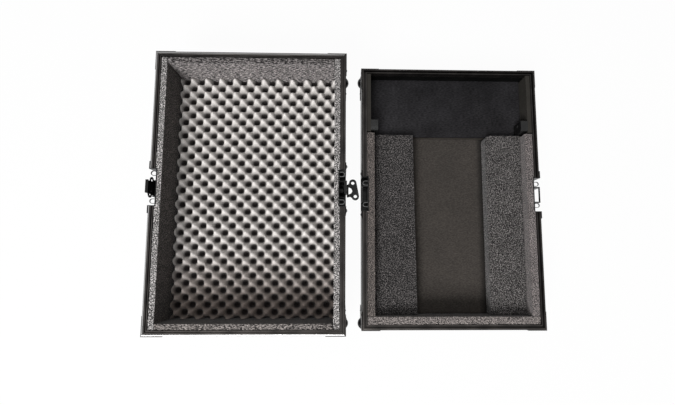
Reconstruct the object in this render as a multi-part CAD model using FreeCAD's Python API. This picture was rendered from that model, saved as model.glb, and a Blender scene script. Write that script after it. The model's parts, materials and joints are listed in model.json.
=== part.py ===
"""Flight case for a tabletop mixer, lying open in two halves.

The shallow base stands on its rubber feet, and the deep lid lies beside it, turned
over on its ball corners, with its rim up. Millimetres, +Z up. The origin is on the
floor midway between the halves: the base is at +X, the lid at -X, the front at -Y.
"""
import FreeCAD
import Part
import math
import os

from FreeCAD import Vector

# Whole case
CASE_WIDTH = 388.0
CASE_LENGTH = 570.0
BASE_RIM_Z = 73.5
LID_RIM_Z = 135.0
HALVES_GAP = 36.0
FIT = 0.3
OVERRUN = 4.0

# Boards and metal edging
BOARD = 9.0
WALL_BOARD = 7.0
SKIN = 1.5
EDGING_LEG = 25.0
FOOT_HEIGHT = 10.0

# Ball corners on the outer edging
BALL_RADIUS = 14.0
BALL_REACH = 7.5
BALL_PLATE = 1.5
BALL_PLATE_LENGTH = 46.0
BALL_PLATE_HEIGHT = 24.0
BALL_PLATE_ROUND = 11.0

# Rim extrusion, with the groove of the base and the tongue of the lid
RIM_WIDTH = 10.7
RIM_WING = 30.0
RIM_WEB = 7.0
RIM_LEG = 14.0
RIM_ROUND = 2.4
RIM_ROUND_STEPS = 4
GROOVE_START = 4.3
GROOVE_WIDTH = 4.4
GROOVE_DEPTH = 5.5
TONGUE_WIDTH = 2.4
TONGUE_HEIGHT = 2.4
TONGUE_CHAMFER = 0.7
RELIEF_WIDTH = 1.1
RELIEF_DEPTH = 1.5

# Braces on the outside of the rim's corners
BRACE_LEG = 38.0
BRACE_HEIGHT = 20.0
BRACE_DROP = 3.0

# Foam linings
LINING_TOP_DROP = 1.5
LID_LINING = 12.3
BASE_SIDE_LINING = 17.0
BASE_FRONT_LINING = 17.3
SIDE_LINING_END_GAP = 2.6

# Convoluted foam in the lid
FOAM_BASE = 25.0
FOAM_PEAK = 54.5
FOAM_PITCH = 30.9

# Mixer bay: mat and the two foam blocks that the mixer stands on
MIXER_BAY_LENGTH = 399.3
MAT = 2.0
BLOCK = 29.0
BLOCK_GAP = 1.2
LEFT_BLOCK_REAR_WIDTH = 87.0
LEFT_BLOCK_FRONT_WIDTH = 91.5
RIGHT_BLOCK_WIDTH = 80.0
RIGHT_BLOCK_ROUND = 10.0

# Cable bay: raised floor, its battens, side liners and posts
BAY_FLOOR_RISE = 17.0
BAY_FLOOR_BOARD = 9.0
BATTEN = 20.0
LINER = 9.0
LINER_TOP_DROP = 2.5
POST_WIDTH = 15.7
POST_LENGTH = 24.7
POST_SETBACK = 1.1
POST_TOP_DROP = 1.5
POST_ROUND = 9.0
POST_SCREW_RADIUS = 3.2
POST_SCREW_RISE = 1.2
POST_SCREW_Y_OFFSET = 17.3
POST_SCREW_DROP = 18.5

# Recessed dishes of the latches and of their keepers
DISH_SHEET = 1.0
DISH_DEPTH = 12.9
DISH_OPENING = 75.0
DISH_FLANGE_LENGTH = 104.0
DISH_FLANGE = 1.2
DISH_TOP_DROP = 0.3
LOOP_WIDTH = 10.0
LOOP_SHEET = 1.0
LOOP_OUT = 1.8
LOOP_HEIGHT = 3.0
LOOP_DROP = 2.0
LATCH_LOOP_MIDDLE = 28.0
KEEPER_LOOP_MIDDLE = 23.5
LATCH_PAN_BELOW_SPINDLE = 39.0
LATCH_FLANGE_BELOW_PAN = 13.0
KEEPER_PAN_BELOW_WING = 1.0
KEEPER_FLANGE_BELOW_PAN = 7.0

# Latch: offset to the rear, spindle, hook plate and two folding wings
LATCH_OFFSET = 3.0
SPINDLE_DROP = 34.0
SPINDLE_RADIUS = 6.0
SPINDLE_PLAY = 0.08
BOSS_RADIUS = 10.0
BOSS_GAP = 1.2
ECCENTRIC_RADIUS = 6.5
ECCENTRIC_THROW = 4.0
YOKE_SLACK = 1.15
HOOK_PLATE = 1.8
HOOK_PLATE_IN = 1.6
HOOK_PLATE_OUT = -2.4
HOOK_WIDTH = 30.0
HOOK_TIP_WIDTH = 26.0
HOOK_BELOW_WINDOW = 4.35
HOOK_CRANK_BOTTOM_DROP = 12.0
HOOK_CRANK_TOP_DROP = 6.0
HOOK_REACH = 9.0
HOOK_CURL = 2.0
HOOK_PAST_LIP = 1.7
GUIDE_SHEET = 1.5
GUIDE_HEIGHT = 34.0
NECK_RADIUS = 4.6
HEAD_LENGTH = 14.4
HEAD_WIDTH = 10.4
HEAD_THICKNESS = 3.5
PIN_RADIUS = 1.0
PIN_OFFSET = 2.6
PIN_PLAY = 0.05
PIN_TIP = 0.4
KNUCKLE_RADIUS = 1.7
KNUCKLE_OUTER = 12.5
WING_PLATE = 1.6
WING_LOBE_RADIUS = 7.6
WING_LOBE_OFFSET = 14.2
WING_LOBE_REACH = 13.5
WING_HOLE_RADIUS = 3.7
WING_WINDOW_REACH = 9.6
WING_SKEW = 11.0

# Keeper bridge that the hook pulls on
LIP = 1.6
LIP_TOP_DROP = 2.25
KEEPER_ROOM = 2.3
KEEPER_CHEEK = 2.0
KEEPER_CHEEK_HEIGHT = 20.0
KEEPER_BACK = 1.5
KEEPER_BACK_TOP_DROP = 9.5
KEEPER_BACK_HEIGHT = 17.5

# Recessed carrying handle in the lid's front wall
HANDLE_PAN_LENGTH = 122.0
HANDLE_PAN_HEIGHT = 52.0
HANDLE_FLANGE_MARGIN = 9.0
HANDLE_ROD_RADIUS = 3.0
HANDLE_ROD_DEPTH = 7.0
HANDLE_SIDE_ROOM = 4.0
HANDLE_PIVOT_DROP = 8.5
HANDLE_LEG = 34.0
HANDLE_EAR_LENGTH = 9.0
HANDLE_EAR_HEIGHT = 11.0
HANDLE_EAR_OUT = 2.6
GRIP_RADIUS = 5.4
GRIP_END_GAP = 2.0

# Rivets, feet and screws
RIVET_RADIUS = 2.6
RIVET_RISE = 1.1
DISH_RIVET_RADIUS = 4.0
DISH_RIVET_RISE = 2.3
FOOT_RADIUS = 19.0
FOOT_TIP_RADIUS = 16.5
FOOT_INSET_X = 48.0
FOOT_INSET_Y = 62.0
FOOT_BORE_RADIUS = 5.2
FOOT_BORE_DEPTH = 5.5
SCREW_HEAD_RADIUS = 4.4
SCREW_HEAD = 2.6
SCREW_RADIUS = 2.0
SCREW_BITE = 7.0
SCREW_PLAY = 0.1

# Worked out from the sizes above
HALF_OFFSET = (HALVES_GAP + CASE_WIDTH) / 2
LINING_DEPTH = RIM_WIDTH + FIT
GROOVE_MIDDLE = GROOVE_START + GROOVE_WIDTH / 2
DISH_BACK = DISH_DEPTH + DISH_SHEET
INNER_LENGTH = CASE_LENGTH - 2 * (SKIN + WALL_BOARD)
BAY_START_Y = LINING_DEPTH + BASE_FRONT_LINING + MIXER_BAY_LENGTH - CASE_LENGTH / 2
SIDE_LINING_END_Y = BAY_START_Y - SIDE_LINING_END_GAP
POST_START_Y = BAY_START_Y + POST_SETBACK
LATCH_PAN_HEIGHT = SPINDLE_DROP + LATCH_PAN_BELOW_SPINDLE
LATCH_FLANGE_HEIGHT = LATCH_PAN_HEIGHT + LATCH_FLANGE_BELOW_PAN
KEEPER_PAN_HEIGHT = RIM_WING + KEEPER_PAN_BELOW_WING
KEEPER_FLANGE_HEIGHT = KEEPER_PAN_HEIGHT + KEEPER_FLANGE_BELOW_PAN
HOOK_PLATE_BACK = HOOK_PLATE_IN + HOOK_PLATE
BOSS_TIP = HOOK_PLATE_BACK + BOSS_GAP
WINDOW_RISE = ECCENTRIC_RADIUS + YOKE_SLACK
HOOK_BOTTOM_DROP = SPINDLE_DROP + ECCENTRIC_THROW + WINDOW_RISE + HOOK_BELOW_WINDOW
HEAD_IN = HOOK_PLATE_OUT - FIT
PIN_DEPTH = HEAD_IN - HEAD_THICKNESS / 2
WING_WINDOW_RADIUS = HEAD_LENGTH / 2 + FIT
WING_NECK = HEAD_WIDTH / 2 - PIN_OFFSET + FIT
LIP_OUT = HOOK_PLATE_OUT + HOOK_PLATE + FIT
LIP_HEIGHT = HOOK_REACH - HOOK_CURL - LIP_TOP_DROP - 2 * FIT
HOOK_CURL_IN = LIP_OUT + LIP + HOOK_PAST_LIP
KEEPER_WIDTH = HOOK_TIP_WIDTH + 2 * (KEEPER_ROOM + KEEPER_CHEEK)
HANDLE_INNER = HANDLE_PAN_LENGTH / 2 - DISH_SHEET
HANDLE_LEG_OFFSET = HANDLE_INNER - HANDLE_EAR_LENGTH - HANDLE_SIDE_ROOM - HANDLE_ROD_RADIUS
GRIP_LENGTH = 2 * (HANDLE_LEG_OFFSET - HANDLE_ROD_RADIUS - GRIP_END_GAP)
TURNS = {"front": 0, "right": 90, "rear": 180, "left": 270}


class Half:
    """One half of the case: where its middle, its edging and its rim lie."""

    def __init__(self, name, centre_x, bottom_z, rim_z):
        self.name = name
        self.centre_x = centre_x
        self.edging_z = bottom_z
        self.board_z = bottom_z + SKIN
        self.floor_z = bottom_z + SKIN + BOARD
        self.rim_z = rim_z
        self.board_top_z = rim_z - RIM_WEB
        self.lining_top_z = rim_z - LINING_TOP_DROP


BASE = Half("base", HALF_OFFSET, FOOT_HEIGHT - SKIN, BASE_RIM_Z)
LID = Half("lid", -HALF_OFFSET, BALL_REACH, LID_RIM_Z)


def block(low, high):
    """A box between two corners."""
    size = [top - bottom for bottom, top in zip(low, high)]
    return Part.makeBox(size[0], size[1], size[2], Vector(*low))


def prism(points, direction):
    """A flat outline pushed along a direction."""
    outline = [Vector(*point) for point in points]
    face = Part.Face(Part.makePolygon(outline + outline[:1]))
    return face.extrude(Vector(*direction))


def rod(start, end, radius):
    """A round bar between two points."""
    along = Vector(*end) - Vector(*start)
    return Part.makeCylinder(radius, along.Length, Vector(*start), along)


def dome(radius, rise, place, outward):
    """A low rivet head or screw head on a surface."""
    ball_radius = (radius * radius + rise * rise) / (2 * rise)
    latitude = math.degrees(math.asin((ball_radius - rise) / ball_radius))
    normal = Vector(*outward)
    centre = Vector(*place) - normal * (ball_radius - rise)
    return Part.makeSphere(ball_radius, centre, normal, latitude, 90, 360)


def fuse(shapes):
    """One solid from shapes that meet."""
    joined = shapes[0]
    for shape in shapes[1:]:
        joined = joined.fuse(shape)
    return joined.removeSplitter()


def save(name, shapes):
    """Write one node, as one solid or as a group of separate ones."""
    solids = [solid for shape in shapes for solid in shape.Solids]
    node = solids[0] if len(solids) == 1 else Part.makeCompound(solids)
    node.exportStep("parts/" + name + ".step")


def side_size(side):
    """Length of a side of the case, and the distance to the side across."""
    if side in ("front", "rear"):
        return CASE_WIDTH, CASE_LENGTH
    return CASE_LENGTH, CASE_WIDTH


def on_side(shape, half, side):
    """Place a shape that was made for a side.

    It is made with X along the side, Y inward from the outer face and Z up.
    """
    placed = shape.copy()
    placed.translate(Vector(0, -side_size(side)[1] / 2, 0))
    placed.rotate(Vector(0, 0, 0), Vector(0, 0, 1), TURNS[side])
    placed.translate(Vector(half.centre_x, 0, 0))
    return placed


def off_middle(shape, side):
    """A shape of a latch or keeper, moved along its side toward the case's rear."""
    moved = shape.copy()
    moved.translate(Vector(LATCH_OFFSET if side == "right" else -LATCH_OFFSET, 0, 0))
    return moved


def at_corners(shape, half):
    """Copies of a shape made for a corner, mirrored to all four.

    It is made with the corner at the origin and the case on the positive sides.
    """
    copies = []
    for sign_x in (1, -1):
        for sign_y in (1, -1):
            copy = shape.copy()
            if sign_x < 0:
                copy = copy.mirror(Vector(0, 0, 0), Vector(1, 0, 0))
            if sign_y < 0:
                copy = copy.mirror(Vector(0, 0, 0), Vector(0, 1, 0))
            corner_x = half.centre_x - sign_x * CASE_WIDTH / 2
            copy.translate(Vector(corner_x, -sign_y * CASE_LENGTH / 2, 0))
            copies.append(copy)
    return copies


def mitred(profile, length, width):
    """A profile of depth and height run along a side, cut at 45 degrees at both ends."""
    end = length / 2
    bar = prism([(-end, depth, height) for depth, height in profile], (length, 0, 0))
    low = min(height for depth, height in profile)
    high = max(height for depth, height in profile)
    outline = [(-end, 0, low), (end, 0, low), (end - width, width, low),
               (width - end, width, low)]
    return bar.common(prism(outline, (0, 0, high - low)))


def dish_opening(half, pan_height):
    """The room that a latch or keeper dish takes in the rim and in the board."""
    reach = DISH_OPENING / 2 + FIT
    bottom = half.rim_z - pan_height - FIT
    top = half.rim_z + TONGUE_HEIGHT + OVERRUN
    return block((-reach, -OVERRUN, bottom), (reach, RIM_WIDTH + OVERRUN, top))


def bottom_board(half):
    """The board that closes a half: the floor of the base or the top of the lid."""
    reach_x = CASE_WIDTH / 2 - SKIN
    reach_y = CASE_LENGTH / 2 - SKIN
    board = block((half.centre_x - reach_x, -reach_y, half.board_z),
                  (half.centre_x + reach_x, reach_y, half.floor_z))
    if half is BASE:
        for x, y in foot_places():
            board = board.cut(rod((x, y, half.board_z - OVERRUN),
                                  (x, y, half.board_z + SCREW_BITE + FIT),
                                  SCREW_RADIUS + SCREW_PLAY))
    return board


def wall_board(half, side, pan_height):
    """One wall board, with the window of its dish or handle."""
    length = side_size(side)[0]
    reach = length / 2 - SKIN
    if side in ("front", "rear"):
        reach = reach - WALL_BOARD
    wall = block((-reach, SKIN, half.floor_z), (reach, SKIN + WALL_BOARD, half.board_top_z))
    if side in ("left", "right"):
        wall = wall.cut(off_middle(dish_opening(half, pan_height), side))
    if half is LID and side == "front":
        wall = wall.cut(handle_pan_block(FIT, OVERRUN))
    return on_side(wall, half, side)


def rim_profile(half):
    """Outline of the rim extrusion: a groove in the base, a tongue on the lid."""
    rim = half.rim_z
    inner = SKIN + WALL_BOARD
    top = []
    for step in range(RIM_ROUND_STEPS + 1):
        angle = math.pi / 2 * step / RIM_ROUND_STEPS
        top.append((RIM_ROUND * (1 - math.cos(angle)), rim - RIM_ROUND * (1 - math.sin(angle))))
    if half is BASE:
        groove_end = GROOVE_START + GROOVE_WIDTH
        top += [(GROOVE_START, rim), (GROOVE_START, rim - GROOVE_DEPTH),
                (groove_end, rim - GROOVE_DEPTH), (groove_end, rim)]
    else:
        near = GROOVE_MIDDLE - TONGUE_WIDTH / 2
        far = GROOVE_MIDDLE + TONGUE_WIDTH / 2
        relief = rim - RELIEF_DEPTH
        crest = rim + TONGUE_HEIGHT
        top += [(near - RELIEF_WIDTH, rim), (near - RELIEF_WIDTH, relief), (near, relief),
                (near, crest - TONGUE_CHAMFER), (near + TONGUE_CHAMFER, crest),
                (far - TONGUE_CHAMFER, crest), (far, crest - TONGUE_CHAMFER), (far, relief),
                (far + RELIEF_WIDTH, relief), (far + RELIEF_WIDTH, rim)]
    return top + [(RIM_WIDTH, rim), (RIM_WIDTH, rim - RIM_LEG), (inner, rim - RIM_LEG),
                  (inner, rim - RIM_WEB), (SKIN, rim - RIM_WEB), (SKIN, rim - RIM_WING),
                  (0, rim - RIM_WING)]


def rim(half, side, pan_height):
    """Rim extrusion of one side, in two lengths where a dish interrupts it."""
    length = side_size(side)[0]
    bar = mitred(rim_profile(half), length, RIM_WIDTH)
    if side in ("left", "right"):
        bar = bar.cut(off_middle(dish_opening(half, pan_height), side))
    return on_side(bar, half, side)


def edging(half):
    """The four angle lengths along the outer edges of the closed side."""
    low = half.edging_z
    profile = [(0, low), (EDGING_LEG, low), (EDGING_LEG, low + SKIN), (SKIN, low + SKIN),
               (SKIN, low + EDGING_LEG), (0, low + EDGING_LEG)]
    return [on_side(mitred(profile, side_size(side)[0], EDGING_LEG), half, side)
            for side in TURNS]


def corner_angles(half):
    """Upright angles on the four corners, between the edging and the rim."""
    low = half.edging_z + EDGING_LEG
    high = half.rim_z - RIM_WING
    outline = [(0, 0, low), (EDGING_LEG, 0, low), (EDGING_LEG, SKIN, low),
               (SKIN, SKIN, low), (SKIN, EDGING_LEG, low), (0, EDGING_LEG, low)]
    return at_corners(prism(outline, (0, 0, high - low)), half)


def petal(length, height):
    """Flat plate of a ball corner, with its far corner rounded."""
    bow = BALL_PLATE_ROUND
    slant = bow * (1 - math.sqrt(0.5))
    near = Vector(-BALL_PLATE, -BALL_PLATE, 0)
    points = [near, Vector(length, -BALL_PLATE, 0), Vector(length, height - bow, 0),
              Vector(length - slant, height - slant, 0), Vector(length - bow, height, 0),
              Vector(-BALL_PLATE, height, 0)]
    edges = [Part.LineSegment(points[0], points[1]).toShape(),
             Part.LineSegment(points[1], points[2]).toShape(),
             Part.Arc(points[2], points[3], points[4]).toShape(),
             Part.LineSegment(points[4], points[5]).toShape(),
             Part.LineSegment(points[5], points[0]).toShape()]
    return Part.Face(Part.Wire(edges)).extrude(Vector(0, 0, -BALL_PLATE))


def ball_corners(half):
    """Ball corners: a ball over the corner and a plate on each of its three faces."""
    centre = BALL_RADIUS - BALL_REACH
    ball = Part.makeSphere(BALL_RADIUS, Vector(centre, centre, centre))
    under = petal(BALL_PLATE_LENGTH, BALL_PLATE_LENGTH)
    front = petal(BALL_PLATE_LENGTH, BALL_PLATE_HEIGHT)
    front.rotate(Vector(0, 0, 0), Vector(1, 0, 0), 90)
    front = front.mirror(Vector(0, 0, 0), Vector(0, 1, 0))
    side = front.mirror(Vector(0, 0, 0), Vector(1, -1, 0))
    inside = block((0, 0, 0), (CASE_WIDTH / 2, CASE_WIDTH / 2, CASE_WIDTH / 2))
    corner = fuse([ball, under, front, side]).cut(inside)
    corner.translate(Vector(0, 0, half.edging_z))
    return at_corners(corner, half)


def rim_braces(half):
    """Angle plates round the rim's corners, just under the rim plane."""
    high = half.rim_z - BRACE_DROP
    low = high - BRACE_HEIGHT
    outline = [(-SKIN, -SKIN, low), (BRACE_LEG, -SKIN, low), (BRACE_LEG, 0, low),
               (0, 0, low), (0, BRACE_LEG, low), (-SKIN, BRACE_LEG, low)]
    return at_corners(prism(outline, (0, 0, high - low)), half)


def corner_rivets(half):
    """Rivets of the ball corners and of the rim braces."""
    plate_z = half.edging_z + BALL_PLATE_HEIGHT / 2
    brace_z = half.rim_z - BRACE_DROP - BRACE_HEIGHT / 2
    reach = BALL_PLATE_LENGTH - BALL_PLATE_ROUND
    brace = BRACE_LEG - 2 * RIVET_RADIUS - SKIN
    heads = []
    for along, height, face in ((reach, plate_z, BALL_PLATE), (brace, brace_z, SKIN)):
        heads.append(dome(RIVET_RADIUS, RIVET_RISE, (along, -face, height), (0, -1, 0)))
        heads.append(dome(RIVET_RADIUS, RIVET_RISE, (-face, along, height), (-1, 0, 0)))
    return [copy for head in heads for copy in at_corners(head, half)]


def dish(half, pan_height, flange_height):
    """Pressed dish: a pan open at the rim, with a flange on the outside of the case."""
    rim_top = half.rim_z - DISH_TOP_DROP
    wing = half.rim_z - RIM_WING - FIT
    reach = DISH_OPENING / 2
    flange = DISH_FLANGE_LENGTH / 2
    low = half.rim_z - flange_height
    pan_low = half.rim_z - pan_height
    shell = block((-reach, -DISH_FLANGE, pan_low), (reach, DISH_BACK, rim_top))
    on_rim = block((-flange, -DISH_FLANGE, wing - DISH_FLANGE), (flange, 0, rim_top))
    step = block((-flange, -DISH_FLANGE, wing - DISH_FLANGE), (flange, SKIN, wing))
    on_board = block((-flange, SKIN - DISH_FLANGE, low), (flange, SKIN, wing))
    body = fuse([shell, on_rim, step, on_board])
    hollow = block((DISH_SHEET - reach, -OVERRUN, pan_low + DISH_SHEET),
                   (reach - DISH_SHEET, DISH_DEPTH, half.rim_z + OVERRUN))
    return body.cut(hollow)


def dish_loops(half, middle):
    """Two sheet loops that stand off a dish's back near its ends."""
    outer = LOOP_WIDTH / 2
    inner = outer - LOOP_SHEET
    high = half.rim_z - LOOP_DROP
    low = high - LOOP_HEIGHT
    bow = LOOP_OUT + outer
    loops = []
    for x in (-middle, middle):
        loop = fuse([rod((x, bow, low), (x, bow, high), outer),
                     block((x - outer, bow, low), (x + outer, DISH_BACK, high))])
        hollow = fuse([rod((x, bow, low - OVERRUN), (x, bow, high + OVERRUN), inner),
                       block((x - inner, bow, low - OVERRUN),
                             (x + inner, DISH_DEPTH, high + OVERRUN))])
        loops.append(loop.cut(hollow))
    return loops


def dish_rivets(half, flange_height):
    """Rivets of a dish's flange, along both ends of the flange."""
    along = (DISH_OPENING + DISH_FLANGE_LENGTH) / 4
    low = half.rim_z - flange_height + RIVET_RADIUS + FIT
    high = half.rim_z - DISH_RIVET_RADIUS - BRACE_DROP
    heads = []
    for s in (-along, along):
        heads.append(dome(DISH_RIVET_RADIUS, DISH_RIVET_RISE, (s, -DISH_FLANGE, high),
                          (0, -1, 0)))
        heads.append(dome(RIVET_RADIUS, RIVET_RISE, (s, SKIN - DISH_FLANGE, low),
                          (0, -1, 0)))
    return heads


def spindle_z():
    """Height of the latch spindle on the lid lying rim up."""
    return LID.rim_z - SPINDLE_DROP


def latch_dish(side):
    """Dish in the lid, with the spindle's boss and the guides of the hook plate."""
    z = spindle_z()
    body = dish(LID, LATCH_PAN_HEIGHT, LATCH_FLANGE_HEIGHT)
    boss = rod((0, DISH_BACK, z), (0, BOSS_TIP, z), BOSS_RADIUS)
    guides = []
    inner = HOOK_WIDTH / 2 + FIT
    guide_low = LID.rim_z - HOOK_BOTTOM_DROP
    for sign in (-1, 1):
        near, far = sorted((sign * inner, sign * (inner + GUIDE_SHEET)))
        guides.append(block((near, HOOK_PLATE_IN - HOOK_PLATE, guide_low),
                            (far, DISH_BACK, guide_low + GUIDE_HEIGHT)))
    body = fuse([body, boss] + guides + dish_loops(LID, LATCH_LOOP_MIDDLE))
    bore = rod((0, -OVERRUN, z), (0, DISH_DEPTH, z), SPINDLE_RADIUS + SPINDLE_PLAY)
    return on_side(off_middle(body.cut(bore), side), LID, side)


def spindle(side):
    """Turning spindle: shaft, eccentric, neck and the head with its two wing pins."""
    z = spindle_z()
    cam_z = z - ECCENTRIC_THROW
    cam_in = HOOK_PLATE_BACK + FIT
    cam_out = HOOK_PLATE_IN - FIT
    shaft = rod((0, DISH_DEPTH - FIT, z), (0, cam_in, z), SPINDLE_RADIUS)
    cam = rod((0, cam_in, cam_z), (0, cam_out, cam_z), ECCENTRIC_RADIUS)
    neck = rod((0, cam_out, z), (0, HEAD_IN, z), NECK_RADIUS)
    head = block((-HEAD_LENGTH / 2, HEAD_IN - HEAD_THICKNESS, z - HEAD_WIDTH / 2),
                 (HEAD_LENGTH / 2, HEAD_IN, z + HEAD_WIDTH / 2))
    pin_end = KNUCKLE_OUTER + PIN_TIP
    pins = [rod((-pin_end, PIN_DEPTH, z + offset), (pin_end, PIN_DEPTH, z + offset),
                PIN_RADIUS)
            for offset in (-PIN_OFFSET, PIN_OFFSET)]
    return on_side(off_middle(fuse([shaft, cam, neck, head] + pins), side), LID, side)


def hook_plate(side):
    """Cranked plate with a yoke window round the eccentric and a claw at its tip."""
    rim_z = LID.rim_z
    tip = rim_z + HOOK_REACH
    low = rim_z - HOOK_BOTTOM_DROP
    crank_low = rim_z - HOOK_CRANK_BOTTOM_DROP
    crank_high = rim_z - HOOK_CRANK_TOP_DROP
    deep = HOOK_PLATE_BACK
    shallow = HOOK_PLATE_OUT + HOOK_PLATE
    outline = [(HOOK_PLATE_IN, low), (deep, low), (deep, crank_low), (shallow, crank_high),
               (shallow, tip - HOOK_CURL), (HOOK_CURL_IN, tip - HOOK_CURL),
               (HOOK_CURL_IN, tip), (HOOK_PLATE_OUT, tip), (HOOK_PLATE_OUT, crank_high),
               (HOOK_PLATE_IN, crank_low)]
    half_width = HOOK_WIDTH / 2
    plate = prism([(-half_width, depth, height) for depth, height in outline],
                  (HOOK_WIDTH, 0, 0))
    trim = (HOOK_WIDTH - HOOK_TIP_WIDTH) / 2
    for sign in (-1, 1):
        near, far = sorted((sign * (half_width - trim), sign * (half_width + OVERRUN)))
        plate = plate.cut(block((near, HOOK_PLATE_OUT - OVERRUN, crank_low),
                                (far, HOOK_CURL_IN + OVERRUN, tip + OVERRUN)))
    window_z = spindle_z() - ECCENTRIC_THROW
    window_x = ECCENTRIC_RADIUS + ECCENTRIC_THROW + FIT
    window = block((-window_x, HOOK_PLATE_IN - OVERRUN, window_z - WINDOW_RISE),
                   (window_x, deep + OVERRUN, window_z + WINDOW_RISE))
    return on_side(off_middle(plate.cut(window), side), LID, side)


def wing_plate(skew):
    """Flat of a wing with its lobes, holes and window, skewed in its own plane."""
    outer = WING_PLATE / 2
    reach = WING_LOBE_REACH
    far = WING_LOBE_OFFSET + WING_LOBE_RADIUS
    outline = [(-KNUCKLE_OUTER, 0), (KNUCKLE_OUTER, 0), (KNUCKLE_OUTER, WING_NECK),
               (far, reach), (WING_LOBE_OFFSET, reach + WING_LOBE_RADIUS),
               (-WING_LOBE_OFFSET, reach + WING_LOBE_RADIUS), (-far, reach),
               (-KNUCKLE_OUTER, WING_NECK)]
    plate = prism([(along, -outer, up) for along, up in outline], (0, WING_PLATE, 0))
    offsets = (-WING_LOBE_OFFSET, WING_LOBE_OFFSET)
    plate = fuse([plate] + [rod((x, -outer, reach), (x, outer, reach), WING_LOBE_RADIUS)
                            for x in offsets])
    for x in offsets:
        plate = plate.cut(rod((x, -OVERRUN, reach), (x, OVERRUN, reach), WING_HOLE_RADIUS))
    middle = WING_WINDOW_REACH - WING_WINDOW_RADIUS
    plate = plate.cut(rod((0, -OVERRUN, middle), (0, OVERRUN, middle), WING_WINDOW_RADIUS))
    plate.rotate(Vector(0, 0, 0), Vector(0, 1, 0), skew)
    return plate


def folded_wing(skew):
    """A wing folded up flat, made round its pin at the origin."""
    outer = WING_PLATE / 2
    knuckle = KNUCKLE_OUTER
    below = block((-CASE_WIDTH, -OVERRUN, -CASE_WIDTH), (CASE_WIDTH, OVERRUN, 0))
    root = block((-knuckle, -outer, 0), (knuckle, outer, WING_NECK))
    barrel = rod((-knuckle, 0, 0), (knuckle, 0, 0), KNUCKLE_RADIUS)
    shape = fuse([wing_plate(skew).cut(below), root, barrel])
    shape = shape.cut(block((-WING_WINDOW_RADIUS, -OVERRUN, -OVERRUN),
                            (WING_WINDOW_RADIUS, OVERRUN, WING_NECK)))
    return shape.cut(rod((-2 * knuckle, 0, 0), (2 * knuckle, 0, 0), PIN_RADIUS + PIN_PLAY))


def wing(side, upper, raised):
    """One wing of a latch, folded against the case or raised square to it."""
    shape = folded_wing(WING_SKEW if side == "right" else -WING_SKEW)
    if not upper:
        shape.rotate(Vector(0, 0, 0), Vector(1, 0, 0), 180)
    if raised:
        shape.rotate(Vector(0, 0, 0), Vector(1, 0, 0), 90 if upper else -90)
    offset = PIN_OFFSET if upper else -PIN_OFFSET
    shape.translate(Vector(0, PIN_DEPTH, spindle_z() + offset))
    return on_side(off_middle(shape, side), LID, side)


def keeper_bridge(side):
    """Keeper on the dish's back: two cheeks that carry the lip for the hook."""
    rim_z = BASE.rim_z
    half_width = KEEPER_WIDTH / 2
    lip_top = rim_z - LIP_TOP_DROP
    lip = block((-half_width, LIP_OUT, lip_top - LIP_HEIGHT),
                (half_width, LIP_OUT + LIP, lip_top))
    cheeks = [block((near, LIP_OUT, lip_top - KEEPER_CHEEK_HEIGHT),
                    (near + KEEPER_CHEEK, DISH_DEPTH, lip_top))
              for near in (-half_width, half_width - KEEPER_CHEEK)]
    back_top = rim_z - KEEPER_BACK_TOP_DROP
    back = block((-half_width, DISH_DEPTH - KEEPER_BACK, back_top - KEEPER_BACK_HEIGHT),
                 (half_width, DISH_DEPTH, back_top))
    return on_side(off_middle(fuse([lip, back] + cheeks), side), BASE, side)


def dish_notch(half, pan_height):
    """Room for a dish's back in the lining behind it."""
    reach = DISH_OPENING / 2 + FIT
    return block((-reach, 0, half.rim_z - pan_height - FIT),
                 (reach, DISH_BACK + FIT, half.rim_z + OVERRUN))


def lid_lining(side):
    """Foam lining of one wall of the lid."""
    length = side_size(side)[0]
    reach = length / 2 - LINING_DEPTH
    if side in ("front", "rear"):
        reach = reach - LID_LINING - FIT
    sheet = block((-reach, LINING_DEPTH, LID.floor_z + FIT),
                  (reach, LINING_DEPTH + LID_LINING, LID.lining_top_z))
    if side in ("left", "right"):
        sheet = sheet.cut(off_middle(dish_notch(LID, LATCH_PAN_HEIGHT), side))
    if side == "front":
        sheet = sheet.cut(handle_pan_block(FIT, OVERRUN))
    return on_side(sheet, LID, side)


def convoluted_foam():
    """Egg-crate foam: peaks and pits that alternate like a chessboard."""
    inset = LINING_DEPTH + LID_LINING + FIT
    width = CASE_WIDTH - 2 * inset
    length = CASE_LENGTH - 2 * inset
    columns = round(2 * width / FOAM_PITCH)
    rows = round(2 * length / FOAM_PITCH)
    low = LID.floor_z + FIT

    def point(column, row):
        height = FOAM_PEAK if (column + row) % 2 == 0 else FOAM_BASE
        return Vector(LID.centre_x - width / 2 + width * column / columns,
                      -length / 2 + length * row / rows, low + height)

    def face(corners):
        return Part.Face(Part.makePolygon(corners + corners[:1]))

    faces = []
    for column in range(columns):
        for row in range(rows):
            near = [point(column, row), point(column + 1, row)]
            far = [point(column, row + 1), point(column + 1, row + 1)]
            if (column + row) % 2 == 0:
                faces.append(face([near[0], near[1], far[1]]))
                faces.append(face([near[0], far[1], far[0]]))
            else:
                faces.append(face([near[0], near[1], far[0]]))
                faces.append(face([near[1], far[1], far[0]]))
    edges = [[point(column, 0) for column in range(columns + 1)],
             [point(columns, row) for row in range(rows + 1)],
             [point(column, rows) for column in range(columns, -1, -1)],
             [point(0, row) for row in range(rows, -1, -1)]]
    ground = []
    for edge in edges:
        start = Vector(edge[0].x, edge[0].y, low)
        end = Vector(edge[-1].x, edge[-1].y, low)
        faces.append(face([end, start] + edge))
        ground.append(start)
    faces.append(face(ground))
    shell = Part.Shell(faces)
    shell.sewShape()
    foam = Part.Solid(shell)
    if foam.Volume < 0:
        foam.reverse()
    return foam


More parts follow.
